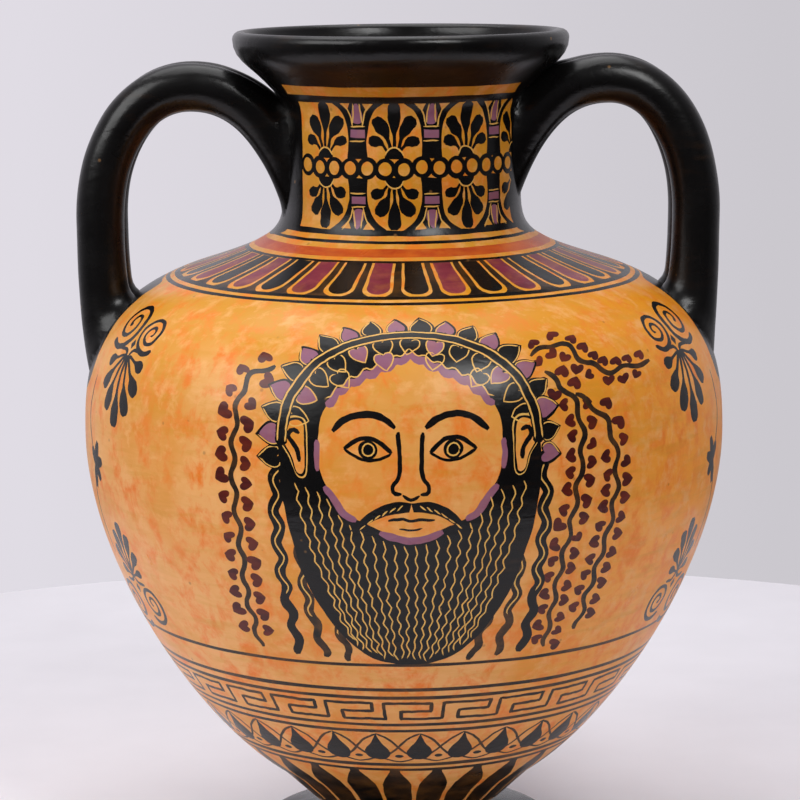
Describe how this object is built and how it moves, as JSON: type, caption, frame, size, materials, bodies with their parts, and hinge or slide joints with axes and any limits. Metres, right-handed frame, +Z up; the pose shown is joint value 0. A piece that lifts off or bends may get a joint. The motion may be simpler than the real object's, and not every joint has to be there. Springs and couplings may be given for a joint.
{
  "type": "painted amphora",
  "caption": "Round-bodied painted clay amphora with a cup mouth, disc foot and rolled handles from neck to shoulder, for standing on a shelf.",
  "frame": {"origin": "middle of the foot's standing ring, on the surface it stands on", "axes": "+Z up along the axis of the vase, handles along X, painted front towards -Y"},
  "size_m": [0.2007, 0.2, 0.26],
  "materials": {
    "painted_clay": "varnished orange clay with black slip"
  },
  "bodies": {
    "root": {"vase": "painted_clay"}
  },
  "joints": []
}
